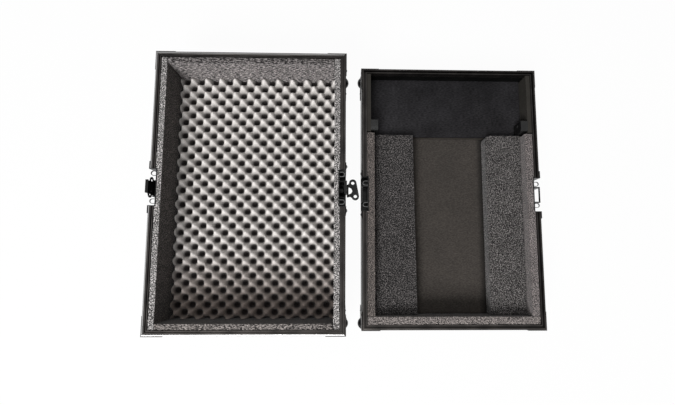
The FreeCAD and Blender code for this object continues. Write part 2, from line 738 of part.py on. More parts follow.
def base_side_lining(side):
    """Foam lining of a side of the mixer bay."""
    start = bay_front_y() + FIT
    sign = 1 if side == "right" else -1
    near, far = sorted((sign * start, sign * SIDE_LINING_END_Y))
    sheet = block((near, LINING_DEPTH, BASE.floor_z + FIT),
                  (far, LINING_DEPTH + BASE_SIDE_LINING, BASE.lining_top_z))
    notch = off_middle(dish_notch(BASE, KEEPER_PAN_HEIGHT), side)
    return on_side(sheet.cut(notch), BASE, side)


def base_front_lining():
    """Foam lining along the front of the base."""
    reach = CASE_WIDTH / 2 - LINING_DEPTH
    sheet = block((-reach, LINING_DEPTH, BASE.floor_z + FIT),
                  (reach, LINING_DEPTH + BASE_FRONT_LINING, BASE.lining_top_z))
    return on_side(sheet, BASE, "front")


def bay_left_x():
    """Inner face of the base's left lining."""
    return BASE.centre_x - CASE_WIDTH / 2 + LINING_DEPTH + BASE_SIDE_LINING


def bay_right_x():
    """Inner face of the base's right lining."""
    return BASE.centre_x + CASE_WIDTH / 2 - LINING_DEPTH - BASE_SIDE_LINING


def bay_front_y():
    """Inner face of the base's front lining."""
    return LINING_DEPTH + BASE_FRONT_LINING - CASE_LENGTH / 2


def mixer_bay_mat():
    """Thin mat on the floor of the mixer bay."""
    return block((bay_left_x() + FIT, bay_front_y() + FIT, BASE.floor_z),
                 (bay_right_x() - FIT, BAY_START_Y - FIT, BASE.floor_z + MAT))


def foam_block_left():
    """Left foam block, a little wider at the front."""
    low = BASE.floor_z + MAT + FIT
    near = bay_left_x() + BLOCK_GAP
    front = bay_front_y() + FIT
    rear = BAY_START_Y - FIT
    outline = [(near, front, low), (near + LEFT_BLOCK_FRONT_WIDTH, front, low),
               (near + LEFT_BLOCK_REAR_WIDTH, rear, low), (near, rear, low)]
    return prism(outline, (0, 0, BLOCK - FIT))


def foam_block_right():
    """Right foam block, with its inner rear corner rounded."""
    low = BASE.floor_z + MAT + FIT
    far = bay_right_x() - FIT
    near = far - RIGHT_BLOCK_WIDTH
    front = bay_front_y() + FIT
    rear = BAY_START_Y - FIT
    body = block((near, front, low), (far, rear, BASE.floor_z + MAT + BLOCK))
    corner = body.Edges[0]
    for edge in body.Edges:
        middle = edge.CenterOfMass
        if abs(middle.x - near) < FIT and abs(middle.y - rear) < FIT:
            corner = edge
    return body.makeFillet(RIGHT_BLOCK_ROUND, [corner])


def cable_bay_floor():
    """Raised board of the cable bay behind the mixer."""
    reach = CASE_WIDTH / 2 - LINING_DEPTH - LINER - FIT
    top = BASE.floor_z + BAY_FLOOR_RISE
    return block((BASE.centre_x - reach, BAY_START_Y, top - BAY_FLOOR_BOARD),
                 (BASE.centre_x + reach, INNER_LENGTH / 2, top))


def cable_bay_battens():
    """Two battens under the raised board."""
    reach = CASE_WIDTH / 2 - LINING_DEPTH - LINER - FIT
    top = BASE.floor_z + BAY_FLOOR_RISE - BAY_FLOOR_BOARD
    return [block((BASE.centre_x - reach, near, BASE.floor_z),
                  (BASE.centre_x + reach, near + BATTEN, top))
            for near in (BAY_START_Y, INNER_LENGTH / 2 - BATTEN)]


def cable_bay_liner(side):
    """Thin board on a side wall of the cable bay."""
    sign = 1 if side == "right" else -1
    end = CASE_LENGTH / 2 - LINING_DEPTH
    near, far = sorted((sign * BAY_START_Y, sign * end))
    sheet = block((near, LINING_DEPTH, BASE.floor_z),
                  (far, LINING_DEPTH + LINER, BASE.rim_z - LINER_TOP_DROP))
    return on_side(sheet, BASE, side)


def bay_post(side):
    """Post at a front corner of the cable bay, rounded at its front top edge."""
    low = BASE.floor_z + BAY_FLOOR_RISE
    high = BASE.rim_z - POST_TOP_DROP
    depth = LINING_DEPTH + LINER
    sign = 1 if side == "right" else -1
    end = POST_START_Y + POST_LENGTH
    near, far = sorted((sign * POST_START_Y, sign * end))
    post = block((near, depth, low), (far, depth + POST_WIDTH, high))
    edges = []
    for edge in post.Edges:
        middle = edge.CenterOfMass
        if abs(middle.x - sign * POST_START_Y) < FIT and abs(middle.z - high) < FIT:
            edges.append(edge)
    return on_side(post.makeFillet(POST_ROUND, edges), BASE, side)


def bay_post_screw(side):
    """Screw head on the inner face of a post."""
    sign = 1 if side == "right" else -1
    depth = LINING_DEPTH + LINER + POST_WIDTH
    place = (sign * (POST_START_Y + POST_SCREW_Y_OFFSET), depth,
             BASE.rim_z - POST_SCREW_DROP)
    head = dome(POST_SCREW_RADIUS, POST_SCREW_RISE, place, (0, 1, 0))
    return on_side(head, BASE, side)


def handle_z():
    """Middle height of the handle, halfway between the edging and the rim's wing."""
    return (LID.edging_z + EDGING_LEG + LID.rim_z - RIM_WING) / 2


def handle_pan_block(gap, overrun):
    """The block that the handle's pan takes up in the wall and the lining."""
    reach = HANDLE_PAN_LENGTH / 2 + gap
    rise = HANDLE_PAN_HEIGHT / 2 + gap
    return block((-reach, -overrun, handle_z() - rise),
                 (reach, DISH_BACK + gap, handle_z() + rise))


def handle_pivot_z():
    """Height of the handle's pivot, near the top of its pan."""
    return handle_z() + HANDLE_PAN_HEIGHT / 2 - HANDLE_PIVOT_DROP


def handle_dish():
    """Pan of the handle with its flange and the two pierced ears."""
    z = handle_z()
    reach = HANDLE_PAN_LENGTH / 2
    rise = HANDLE_PAN_HEIGHT / 2
    margin = HANDLE_FLANGE_MARGIN
    pan = block((-reach, SKIN - DISH_FLANGE, z - rise), (reach, DISH_BACK, z + rise))
    flange = block((-reach - margin, SKIN - DISH_FLANGE, z - rise - margin),
                   (reach + margin, SKIN, z + rise + margin))
    inner = HANDLE_INNER
    hollow = block((-inner, -OVERRUN, z - rise + DISH_SHEET),
                   (inner, DISH_DEPTH, z + rise - DISH_SHEET))
    body = fuse([pan, flange]).cut(hollow)
    pivot = handle_pivot_z()
    ear_rise = HANDLE_EAR_HEIGHT / 2
    ears = []
    for sign in (-1, 1):
        near, far = sorted((sign * reach, sign * (inner - HANDLE_EAR_LENGTH)))
        ears.append(block((near, HANDLE_EAR_OUT, pivot - ear_rise),
                          (far, DISH_BACK, pivot + ear_rise)))
    bore = rod((-inner, HANDLE_ROD_DEPTH, pivot), (inner, HANDLE_ROD_DEPTH, pivot),
               HANDLE_ROD_RADIUS + SPINDLE_PLAY)
    return on_side(fuse([body] + ears).cut(bore), LID, "front")


def handle_bail():
    """Bent rod of the handle, with its two pivot stubs."""
    depth = HANDLE_ROD_DEPTH
    pivot = handle_pivot_z()
    low = pivot - HANDLE_LEG
    leg = HANDLE_LEG_OFFSET
    stub = HANDLE_INNER - FIT
    radius = HANDLE_ROD_RADIUS
    shapes = [rod((-leg, depth, low), (leg, depth, low), radius)]
    for sign in (-1, 1):
        shapes.append(rod((sign * leg, depth, low), (sign * leg, depth, pivot), radius))
        shapes.append(rod((sign * leg, depth, pivot), (sign * stub, depth, pivot), radius))
        for height in (low, pivot):
            shapes.append(Part.makeSphere(radius, Vector(sign * leg, depth, height)))
    return on_side(fuse(shapes), LID, "front")


def handle_grip():
    """Rubber tube on the handle's rod."""
    low = handle_pivot_z() - HANDLE_LEG
    start = (-GRIP_LENGTH / 2, HANDLE_ROD_DEPTH, low)
    end = (GRIP_LENGTH / 2, HANDLE_ROD_DEPTH, low)
    tube = rod(start, end, GRIP_RADIUS)
    return on_side(tube.cut(rod(start, end, HANDLE_ROD_RADIUS)), LID, "front")


def handle_rivets():
    """Rivets at the corners of the handle's flange."""
    along = (HANDLE_PAN_LENGTH + HANDLE_FLANGE_MARGIN) / 2
    rise = (HANDLE_PAN_HEIGHT + HANDLE_FLANGE_MARGIN) / 2
    face = SKIN - DISH_FLANGE
    return [on_side(dome(RIVET_RADIUS, RIVET_RISE, (s, face, handle_z() + z), (0, -1, 0)),
                    LID, "front")
            for s in (-along, along) for z in (-rise, rise)]


def foot_places():
    """Centres of the four feet."""
    reach_x = CASE_WIDTH / 2 - FOOT_INSET_X
    reach_y = CASE_LENGTH / 2 - FOOT_INSET_Y
    return [(BASE.centre_x + x, y) for x in (-reach_x, reach_x) for y in (-reach_y, reach_y)]


def rubber_feet():
    """Tapered feet with a recess for the screw."""
    feet = []
    for x, y in foot_places():
        foot = Part.makeCone(FOOT_TIP_RADIUS, FOOT_RADIUS, BASE.board_z, Vector(x, y, 0))
        foot = foot.cut(rod((x, y, -OVERRUN), (x, y, FOOT_BORE_DEPTH), FOOT_BORE_RADIUS))
        feet.append(foot.cut(rod((x, y, 0), (x, y, BASE.board_z + OVERRUN),
                                 SCREW_RADIUS + SCREW_PLAY)))
    return feet


def foot_screws():
    """Screws that hold the feet to the base's floor."""
    screws = []
    for x, y in foot_places():
        head = rod((x, y, FOOT_BORE_DEPTH - SCREW_HEAD), (x, y, FOOT_BORE_DEPTH),
                   SCREW_HEAD_RADIUS)
        shank = rod((x, y, FOOT_BORE_DEPTH), (x, y, BASE.board_z + SCREW_BITE),
                    SCREW_RADIUS)
        screws.append(fuse([head, shank]))
    return screws


def save_shell(half, pan_height):
    """Boards, rims, edging, corners and braces of one half."""
    name = half.name
    save(name + ("_bottom_board" if half is BASE else "_top_board"), [bottom_board(half)])
    for side in TURNS:
        save(name + "_wall_" + side, [wall_board(half, side, pan_height)])
        save(name + "_rim_" + side, [rim(half, side, pan_height)])
    save(name + "_edging", edging(half))
    save(name + "_corner_angles", corner_angles(half))
    save(name + "_ball_corners", ball_corners(half))
    save(name + "_rim_braces", rim_braces(half))


def save_base():
    """Everything that belongs to the base."""
    save_shell(BASE, KEEPER_PAN_HEIGHT)
    save("base_side_lining_left", [base_side_lining("left")])
    save("base_side_lining_right", [base_side_lining("right")])
    save("base_front_lining", [base_front_lining()])
    save("mixer_bay_mat", [mixer_bay_mat()])
    save("foam_block_left", [foam_block_left()])
    save("foam_block_right", [foam_block_right()])
    save("cable_bay_floor", [cable_bay_floor()])
    save("cable_bay_battens", cable_bay_battens())
    save("cable_bay_liners", [cable_bay_liner("left"), cable_bay_liner("right")])
    save("bay_posts", [bay_post("left"), bay_post("right")])
    keeper = fuse([dish(BASE, KEEPER_PAN_HEIGHT, KEEPER_FLANGE_HEIGHT)]
                  + dish_loops(BASE, KEEPER_LOOP_MIDDLE))
    save("keeper_dishes", [on_side(off_middle(keeper, side), BASE, side)
                           for side in ("left", "right")])
    save("keeper_bridges", [keeper_bridge("left"), keeper_bridge("right")])
    rivets = corner_rivets(BASE)
    for side in ("left", "right"):
        rivets += [on_side(off_middle(head, side), BASE, side)
                   for head in dish_rivets(BASE, KEEPER_FLANGE_HEIGHT)]
    save("base_rivets", rivets)
    save("rubber_feet", rubber_feet())
    save("base_screws", foot_screws() + [bay_post_screw("left"), bay_post_screw("right")])


def save_lid():
    """Everything that belongs to the lid, its latches and its handle."""
    save_shell(LID, LATCH_PAN_HEIGHT)
    for side in TURNS:
        save("lid_lining_" + side, [lid_lining(side)])
    save("convoluted_foam", [convoluted_foam()])
    rivets = corner_rivets(LID) + handle_rivets()
    for side in ("left", "right"):
        save("latch_dish_" + side, [latch_dish(side)])
        save("latch_spindle_" + side, [spindle(side)])
        save("latch_hook_" + side, [hook_plate(side)])
        raised = side == "right"
        save("latch_wing_upper_" + side, [wing(side, True, raised)])
        save("latch_wing_lower_" + side, [wing(side, False, raised)])
        rivets += [on_side(off_middle(head, side), LID, side)
                   for head in dish_rivets(LID, LATCH_FLANGE_HEIGHT)]
    save("lid_rivets", rivets)
    save("handle_dish", [handle_dish()])
    save("handle_bail", [handle_bail()])
    save("handle_grip", [handle_grip()])


os.makedirs("parts", exist_ok=True)
save_base()
save_lid()
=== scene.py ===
"""Looks of the flight case: finishes, foam pieces, floor, light and camera.

Metres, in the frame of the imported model: the base at +X, the lid at -X, the front at -Y,
the floor at z = 0.
"""
import json
import math

import bpy
from mathutils import Euler, Matrix, Vector, noise

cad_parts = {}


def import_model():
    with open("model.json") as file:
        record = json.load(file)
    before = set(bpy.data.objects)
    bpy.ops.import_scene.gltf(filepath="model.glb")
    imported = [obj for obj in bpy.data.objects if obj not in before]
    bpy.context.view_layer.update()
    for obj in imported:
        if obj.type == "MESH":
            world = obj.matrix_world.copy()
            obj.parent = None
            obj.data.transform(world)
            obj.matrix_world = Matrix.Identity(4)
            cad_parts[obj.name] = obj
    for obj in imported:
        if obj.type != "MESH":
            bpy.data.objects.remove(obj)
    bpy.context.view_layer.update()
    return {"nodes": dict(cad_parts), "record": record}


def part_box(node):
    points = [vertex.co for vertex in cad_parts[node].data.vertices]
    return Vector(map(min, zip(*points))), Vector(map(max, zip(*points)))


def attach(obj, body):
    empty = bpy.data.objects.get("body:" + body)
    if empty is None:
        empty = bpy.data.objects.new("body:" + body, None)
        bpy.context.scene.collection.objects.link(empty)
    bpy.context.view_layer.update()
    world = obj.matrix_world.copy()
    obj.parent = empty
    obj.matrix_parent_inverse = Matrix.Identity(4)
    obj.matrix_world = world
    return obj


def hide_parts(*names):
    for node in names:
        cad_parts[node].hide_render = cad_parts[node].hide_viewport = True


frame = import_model()
MM = 0.001

# Photograph: image size, principal point and focal length in pixels, camera place and tilt
IMAGE_WIDTH = 675
IMAGE_HEIGHT = 405
PRINCIPAL_X = 350.3
PRINCIPAL_Y = 223.5
FOCAL_PIXELS = 389.95
SENSOR = 36.0
CAMERA_PLACE = Vector((-26.16, -147.02, 900.03)) * MM
CAMERA_TILT = Euler((0.1027, -0.0230, 0.0016), "XYZ")

# Side walls: name, which corner of a box is on the outer face, and the direction inward on X
SIDES = (("left", 0, 1), ("right", 1, -1))

# Linings, blocks and mat: distance between net lines, radius of the edges, and the shares of
# that radius at which a rounded edge has its net lines
LINING_STEP = 2.6 * MM
LINING_ROUND = 1.1 * MM
BLOCK_STEP = 3.0 * MM
BLOCK_ROUND = 1.6 * MM
MAT_STEP = 4.0 * MM
MAT_ROUND = 0.5 * MM
EDGE_SHARES = (0.0, 0.3, 0.65)

# Unevenness of the foam and of the mat: size of its bumps, and their depth
FOAM_WAVE = 3.1 * MM
FOAM_DEPTH = 0.7 * MM
MAT_WAVE = 9.0 * MM
MAT_DEPTH = 0.25 * MM

# Coarser bumps among them: how many times larger and how strong; and what a seed shifts both by
COARSE_TIMES = 7
COARSE_SHARE = 0.35
SEED_SHIFT = Vector((1.37, 2.11, 0.73))
MAT_SEED = 5

# Forms of the two blocks
BLOCK_TAPER = 4.5 * MM
BLOCK_CORNER = 10.0 * MM

# Below the cut top edge of a lining, its faces take painted light or painted shade of their own
FACE_LIGHT_START = 1.2 * MM
FACE_LIGHT_FADE = 3.0 * MM

# Sizes of the pores in the foams
LINING_PORE = 2.6 * MM
FLANK_PORE = 1.9 * MM
FRONT_PORE = 2.0 * MM
BLOCK_PORE = 2.4 * MM

# Room behind the dishes of latches, keepers and handle, which the linings leave free; a full
# height reaches past any lining
WALL_SKIN = 1.5 * MM
DISH_OFFSET = 3.0 * MM
DISH_REACH = 37.8 * MM
DISH_BACK = 14.25 * MM
LATCH_DISH_DROP = 73.3 * MM
KEEPER_DISH_DROP = 31.3 * MM
HANDLE_PAN_REACH = 61.4 * MM
HANDLE_FLANGE = 9.0 * MM
HANDLE_PAN_ROOM = 2.0 * MM
FULL_HEIGHT = 1.0

# Loops in the dishes, whose tops end just below the lining's top and are drawn lighter over a
# band
LOOP_DROP = 0.3 * MM
LIGHTER_BAND_HEIGHT = 1.6 * MM

# Convoluted foam: half pitches across and along, mesh samples in each, and height of its pits
CRATE_COLUMNS = 22
CRATE_ROWS = 34
CRATE_SAMPLES = 9
CRATE_BASE = 25.0 * MM

# Its pattern against the sheet's box: stretch across, start and stretch along, in half pitches
CRATE_STRETCH = 1.015
CRATE_SHIFT = 0.2
CRATE_DRIFT = 1.004

# Its form: a cosine wave mixed with round pits, whose ridges meet in soft creases
CRATE_MIX = 0.72
CRATE_PIT = (0.94, 1.07)
CRATE_CREASE = 10.0
CRATE_RISE = 1.6
CRATE_TOP = 0.87

# Its unevenness: slow sway of the pattern, in half pitches, and fine ripple of the surface
SWAY_SIZE = 60 * MM
SWAY = 0.06
RIPPLE_SIZE = 3 * MM
RIPPLE = 0.5 * MM

# Front strip of the convoluted foam with a browner painted shadow of the front wall, and strip of
# the mat with painted shade along the block
FRONT_SHADOW_WIDTH = 150 * MM
BLOCK_SHADE_WIDTH = 14 * MM

# Painted highlights near the outer edge of some rims: start and end from the outer face, and its
# brightness
LIP_HIGHLIGHT = {"lid_rim_left": (0.5 * MM, 3.2 * MM, 0.3), "lid_rim_front": (0.0, 3.2 * MM, 0.6),
            "lid_rim_rear": (1.8 * MM, 6.0 * MM, 0.28)}

# Painted shade in the groove along each half's rims: start and end from the outer face, and its
# darkness
RIM_GROOVE_SHADE = {"base": (4.3 * MM, 8.7 * MM, 0.5), "lid": (3.9 * MM, 5.5 * MM, 0.4)}

# Rims with painted light or painted shade, lighter or darker than the others by how light falls
# on them
RIM_PAINTED_LIGHT = {"lid_rim_front": 1.35, "base_rim_front": 1.5, "base_rim_rear": 0.75}

# Small rounding of hard edges, per slot
EDGE_ROUND = {"dark_aluminium": 0.35 * MM, "black_steel": 0.4 * MM, "latch_steel": 0.3 * MM,
              "black_laminate": 0.3 * MM, "post_plastic": 0.8 * MM, "black_rubber": 0.8 * MM,
              "batten_wood": 0.5 * MM, "rivet_steel": 0.15 * MM}
BEVEL_ANGLE = math.radians(40)

# Floor and light: the lamps as place, size in metres and power in watts
FLOOR_REACH = 6.0
FLOOR_GREY = 0.8
FLOOR_GLOW = 0.96
SKY_LIGHT = 0.15
SKY_SEEN = 1.0
LAMPS = {"key": ((-1.0, -2.15, 2.2), 1.5, 118), "overhead": ((-0.6, 0.1, 2.6), 2.0, 20)}


class Finish:
    """A material under construction, with short calls for its nodes."""

    def __init__(self, name, roughness, metallic=0.0, specular=0.5):
        self.material = bpy.data.materials.new(name)
        self.material.use_nodes = True
        self.tree = self.material.node_tree
        self.shader = self.tree.nodes["Principled BSDF"]
        self.shader.inputs["Roughness"].default_value = roughness
        self.shader.inputs["Metallic"].default_value = metallic
        self.shader.inputs["Specular IOR Level"].default_value = specular
        self.place = self.tree.nodes.new("ShaderNodeTexCoord").outputs["Object"]

    def put(self, socket, value):
        """Link an output to a socket, or set the socket's value."""
        if isinstance(value, bpy.types.NodeSocket):
            self.tree.links.new(value, socket)
        else:
            socket.default_value = value

    def stretched(self, factors):
        """The place on the surface, with each axis multiplied by its own factor."""
        node = self.tree.nodes.new("ShaderNodeMapping")
        self.put(node.inputs["Vector"], self.place)
        node.inputs["Scale"].default_value = factors
        return node.outputs["Vector"]

    def grain(self, size, detail=2.0, place=None):
        """Soft noise with features of a given size."""
        node = self.tree.nodes.new("ShaderNodeTexNoise")
        self.put(node.inputs["Vector"], place or self.place)
        node.inputs["Scale"].default_value = 1 / size
        node.inputs["Detail"].default_value = detail
        return node.outputs["Fac"]

    def cells(self, size):
        """Distance to the middles of cells of a given size."""
        node = self.tree.nodes.new("ShaderNodeTexVoronoi")
        self.put(node.inputs["Vector"], self.place)
        node.inputs["Scale"].default_value = 1 / size
        return node.outputs["Distance"]

    def ramp(self, value, stops):
        """A colour for each value, from stops of position and grey or colour."""
        node = self.tree.nodes.new("ShaderNodeValToRGB")
        self.put(node.inputs["Fac"], value)
        elements = node.color_ramp.elements
        while len(elements) < len(stops):
            elements.new(1.0)
        for element, (position, colour) in zip(elements, stops):
            element.position = position
            rgb = colour if isinstance(colour, tuple) else (colour, colour, colour)
            element.color = (rgb[0], rgb[1], rgb[2], 1.0)
        return node.outputs["Color"]

    def blend(self, mode, first, second):
        """Two colours added or multiplied."""
        node = self.tree.nodes.new("ShaderNodeMix")
        node.data_type = "RGBA"
        node.blend_type = mode
        self.put(node.inputs["Factor"], 1.0)
        self.put(node.inputs["A"], first)
        self.put(node.inputs["B"], second)
        return node.outputs["Result"]

    def height(self, axis):
        """One coordinate of the place on the surface."""
        node = self.tree.nodes.new("ShaderNodeSeparateXYZ")
        self.put(node.inputs["Vector"], self.place)
        return node.outputs[axis]

    def spread(self, value, low, high):
        """A value's range from low to high brought to 0 to 1."""
        node = self.tree.nodes.new("ShaderNodeMapRange")
        self.put(node.inputs["Value"], value)
        node.inputs["From Min"].default_value = low
        node.inputs["From Max"].default_value = high
        return node.outputs["Result"]

    def colour(self, value):
        """Set the surface's colour."""
        self.put(self.shader.inputs["Base Color"], value)

    def roughness(self, value):
        """Set how rough the surface is."""
        self.put(self.shader.inputs["Roughness"], value)

    def bump(self, height, depth, strength=1.0):
        """Relief of a given depth from a height between 0 and 1."""
        node = self.tree.nodes.new("ShaderNodeBump")
        self.put(node.inputs["Height"], height)
        node.inputs["Strength"].default_value = strength
        node.inputs["Distance"].default_value = depth
        earlier = self.shader.inputs["Normal"].links
        if earlier:
            self.put(node.inputs["Normal"], earlier[0].from_socket)
        self.put(self.shader.inputs["Normal"], node.outputs["Normal"])


def laminate(name, dark, light, streaks=0.0):
    """Black laminate with a pebbled surface, faint dust and, where asked for, wiped streaks."""
    finish = Finish(name, 0.6, specular=0.06)
    dust = finish.ramp(finish.grain(60 * MM, 4.0), [(0.35, dark), (0.7, light)])
    if streaks:
        wiped = finish.grain(1.8 * MM, 4.0, finish.stretched((0.3, 1.0, 1.0)))
        lines = finish.ramp(wiped, [(0.38, 1 - streaks), (0.62, 1 + streaks)])
        dust = finish.blend("MULTIPLY", dust, lines)
    specks = finish.ramp(finish.grain(1.2 * MM, 1.0), [(0.6, 0.0), (0.85, light)])
    finish.colour(finish.blend("ADD", dust, specks))
    finish.roughness(finish.spread(finish.grain(25 * MM, 3.0), -0.9, 1.2))
    finish.bump(finish.cells(0.9 * MM), 0.12 * MM, 0.6)
    return finish.material


def stained_wood():
    """Black-stained batten with its grain along X."""
    finish = Finish("stained_wood", 0.7)
    fibres = finish.grain(1.5 * MM, 4.0, finish.stretched((0.06, 1.0, 1.0)))
    finish.colour(finish.ramp(fibres, [(0.3, (0.01, 0.008, 0.006)), (0.7, (0.05, 0.04, 0.03))]))
    finish.bump(fibres, 0.2 * MM)
    return finish.material


def anodised(axis, name=None, lip=None, line=None, strength=1.0):
    """Dark anodised aluminium with draw lines along an axis.

    A lip with a painted highlight and a groove with painted shade are each given by start and end
    across the axis, and brightness. The strength lightens or darkens the rest as painted light or
    painted shade.
    """
    finish = Finish("anodised_" + (name or axis), 0.36, metallic=0.85)
    factors = {"x": (0.01, 1.0, 1.0), "y": (1.0, 0.01, 1.0)}[axis]
    lines = finish.grain(0.5 * MM, 3.0, finish.stretched(factors))
    patches = finish.grain(30 * MM, 4.0)
    shade = finish.ramp(patches, [(0.3, (0.019, 0.0172, 0.0162)), (0.75, (0.052, 0.047, 0.044))])
    across = finish.height({"x": "Y", "y": "X"}[axis])
    # Painted shade in the rim's groove
    if line:
        inside = finish.spread(across, line[0], line[1])
        dark = finish.ramp(inside, [(0.0, strength), (0.1, strength * line[2]),
                                    (0.9, strength * line[2]), (1.0, strength)])
        shade = finish.blend("MULTIPLY", shade, dark)
    # Painted highlight near the rim's outer edge
    if lip:
        highlit_lip = finish.spread(across, lip[0], lip[1])
        light = finish.ramp(highlit_lip, [(0.0, 0.0), (0.15, lip[2]), (0.8, lip[2]), (1.0, 0.0)])
        shade = finish.blend("ADD", shade, light)
    finish.colour(finish.blend("MULTIPLY", shade, finish.ramp(lines, [(0.2, 0.7), (0.8, 1.0)])))
    finish.roughness(finish.spread(patches, -1.0, 2.8))
    finish.bump(lines, 0.03 * MM, 0.4)
    return finish.material


def coated_steel(name, dark, light, roughness, lighter_top=None):
    """Black coated steel with handling marks, lighter up to a height if one is given."""
    finish = Finish(name, roughness, metallic=0.3, specular=0.2)
    marks = finish.grain(6 * MM, 5.0)
    shade = finish.ramp(marks, [(0.35, dark), (0.62, dark), (0.8, light)])
    if lighter_top:
        level = finish.spread(finish.height("Z"), lighter_top - LIGHTER_BAND_HEIGHT, lighter_top)
        lighter_band = finish.ramp(level, [(0.0, 0.0), (0.5, 0.1), (0.999, 0.13), (1.0, 0.0)])
        shade = finish.blend("ADD", shade, lighter_band)
    finish.colour(shade)
    finish.roughness(finish.spread(finish.grain(18 * MM, 4.0), -0.5, 2.4))
    finish.bump(finish.grain(0.8 * MM, 2.0), 0.04 * MM, 0.5)
    return finish.material


def rivet_steel():
    """Dark coated rivet heads, rubbed lighter in places."""
    finish = Finish("rivet_steel", 0.3, metallic=0.9)
    finish.colour(finish.ramp(finish.grain(2.5 * MM, 3.0), [(0.4, 0.06), (0.75, 0.28)]))
    return finish.material


def lining_foam(name, dark, light, fleck, pore=LINING_PORE, painted_face_light=None, streak=1.0):
    """Open-cell foam: dark pores between light struts, flecked.

    Painted face light gives the height of the cut top edge and the painted light or painted shade
    of the faces below it. A streak below 1 draws the flecks out along X.
    """
    finish = Finish(name, 0.95, specular=0.15)
    pores = finish.ramp(finish.cells(pore), [(0.2, dark), (0.6, light)])
    fine = finish.grain(pore * 0.8, 2.0, finish.stretched((streak, 1.0, 1.0)))
    flecks = finish.ramp(fine, [(0.41, 0.06), (0.5, 0.8), (0.62, fleck)])
    patches = finish.ramp(finish.grain(28 * MM, 3.0), [(0.3, 0.85), (0.7, 1.12)])
    mixed = finish.blend("MULTIPLY", pores, flecks)
    # Painted light or painted shade on the faces below the cut top edge
    if painted_face_light:
        level = finish.spread(finish.height("Z"), painted_face_light[0] - FACE_LIGHT_FADE, painted_face_light[0] - FACE_LIGHT_START)
        faces = finish.ramp(level, [(0.0, painted_face_light[1]), (1.0, 1.0)])
        mixed = finish.blend("MULTIPLY", mixed, faces)
    finish.colour(finish.blend("MULTIPLY", mixed, patches))
    finish.shader.inputs["Sheen Weight"].default_value = 0.15
    finish.bump(finish.cells(1.6 * MM), 0.5 * MM, 0.9)
    return finish.material


def crate_foam(low, high, front):
    """Grey convoluted foam with painted shade in its pits and a browner painted shadow along the
    front.
    """
    finish = Finish("crate_foam", 0.95, specular=0.1)
    # Painted shade: darker down in the pits, lighter up to the peaks
    level = finish.spread(finish.height("Z"), low, high)
    shade = finish.ramp(level, [(0.0, (0.03, 0.026, 0.025)), (0.27, (0.045, 0.039, 0.037)),
                                 (0.46, (0.38, 0.36, 0.345)), (0.78, (0.74, 0.705, 0.68))])
    # Painted shadow of the front wall along the front, browner too
    rows = finish.spread(finish.height("Y"), front, front + FRONT_SHADOW_WIDTH)
    front_shadow = finish.ramp(rows, [(0.2, (0.49, 0.43, 0.4)), (1.0, 1.0)])
    shade = finish.blend("MULTIPLY", shade, front_shadow)
    pores = finish.ramp(finish.grain(1.6 * MM, 2.0), [(0.3, 0.75), (0.7, 1.12)])
    finish.colour(finish.blend("MULTIPLY", shade, pores))
    finish.shader.inputs["Sheen Weight"].default_value = 0.1
    finish.bump(finish.grain(1.2 * MM, 2.0), 0.4 * MM, 0.8)
    return finish.material


def felt(edge):
    """Brown-grey felt of the mixer bay's mat, with painted shade towards the block at one edge.
    """
    finish = Finish("felt", 0.95, specular=0.1)
    fibres = finish.grain(1.7 * MM, 5.0, finish.stretched((0.4, 1.0, 1.0)))
    patches = finish.grain(45 * MM, 4.0)
    base = finish.ramp(patches, [(0.3, (0.041, 0.036, 0.032)), (0.7, (0.05, 0.0435, 0.0385))])
    shade = finish.ramp(fibres, [(0.35, 0.7), (0.65, 1.3)])
    # Painted shade on the mat along the block
    strip = finish.spread(finish.height("X"), edge - BLOCK_SHADE_WIDTH, edge)
    block_shade = finish.ramp(strip, [(0.0, 1.0), (0.7, 0.42), (1.0, 0.2)])
    finish.colour(finish.blend("MULTIPLY", finish.blend("MULTIPLY", base, shade), block_shade))
    finish.shader.inputs["Sheen Weight"].default_value = 0.2
    finish.bump(fibres, 0.3 * MM, 0.8)
    return finish.material


def plastic():
    """Black semi-matt moulded plastic."""
    finish = Finish("plastic", 0.25, specular=0.28)
    finish.colour(finish.ramp(finish.grain(10 * MM, 3.0), [(0.3, 0.003), (0.7, 0.009)]))
    finish.bump(finish.grain(0.7 * MM, 2.0), 0.05 * MM, 0.5)
    return finish.material


def rubber():
    """Matt black rubber."""
    finish = Finish("rubber", 0.8, specular=0.3)
    finish.colour(finish.ramp(finish.grain(8 * MM, 4.0), [(0.3, 0.008), (0.7, 0.022)]))
    finish.bump(finish.grain(0.6 * MM, 2.0), 0.08 * MM, 0.6)
    return finish.material


def link(name, points, faces):
    """A new object from points and faces."""
    mesh = bpy.data.meshes.new(name)
    mesh.from_pydata(points, [], faces)
    mesh.update()
    piece = bpy.data.objects.new(name, mesh)
    bpy.context.scene.collection.objects.link(piece)
    return piece


